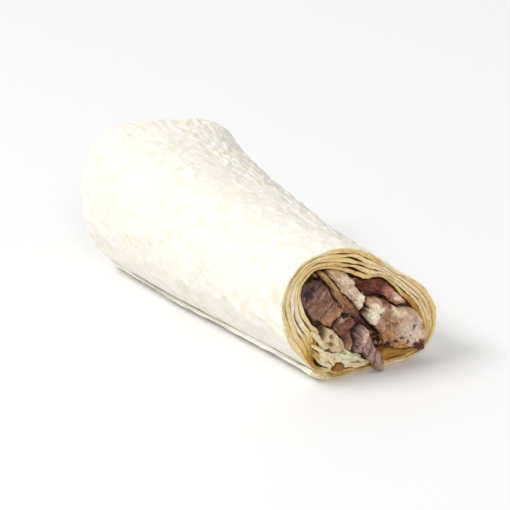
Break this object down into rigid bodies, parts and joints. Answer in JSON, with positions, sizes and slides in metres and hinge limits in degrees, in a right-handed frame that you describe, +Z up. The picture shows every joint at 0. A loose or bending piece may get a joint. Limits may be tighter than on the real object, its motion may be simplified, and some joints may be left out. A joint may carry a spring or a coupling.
{
  "type": "half kebab wrap",
  "caption": "Half of a rolled flatbread wrap filled with kebab meat slices and shredded cabbage, cut across, with a folded shut end, lying on its side.",
  "frame": {"origin": "under the middle of the bounding box, on the surface it lies on", "axes": "+Y from the cut end to the folded shut end, +X to the right as seen from the cut end, +Z up"},
  "size_m": [0.0586, 0.1462, 0.0485],
  "materials": {
    "flatbread": "matte, dry baked dough, cream with pale toasted mottling",
    "kebab_meat": "moist cut meat, grey-brown to reddish brown, charred along some edges",
    "cabbage": "pale yellowish, slightly translucent",
    "tomato": "moist, orange-brown"
  },
  "bodies": {
    "root": {"flatbread": "flatbread", "kebab_slice_left": "kebab_meat", "kebab_strip": "kebab_meat", "kebab_slice_top": "kebab_meat", "kebab_slice_dark": "kebab_meat", "kebab_chunk_right": "kebab_meat", "kebab_slice_middle": "kebab_meat", "kebab_curl": "kebab_meat", "cabbage_leaf": "cabbage", "cabbage_shred_left": "cabbage", "cabbage_shred_low": "cabbage", "tomato_piece": "tomato"}
  },
  "joints": []
}
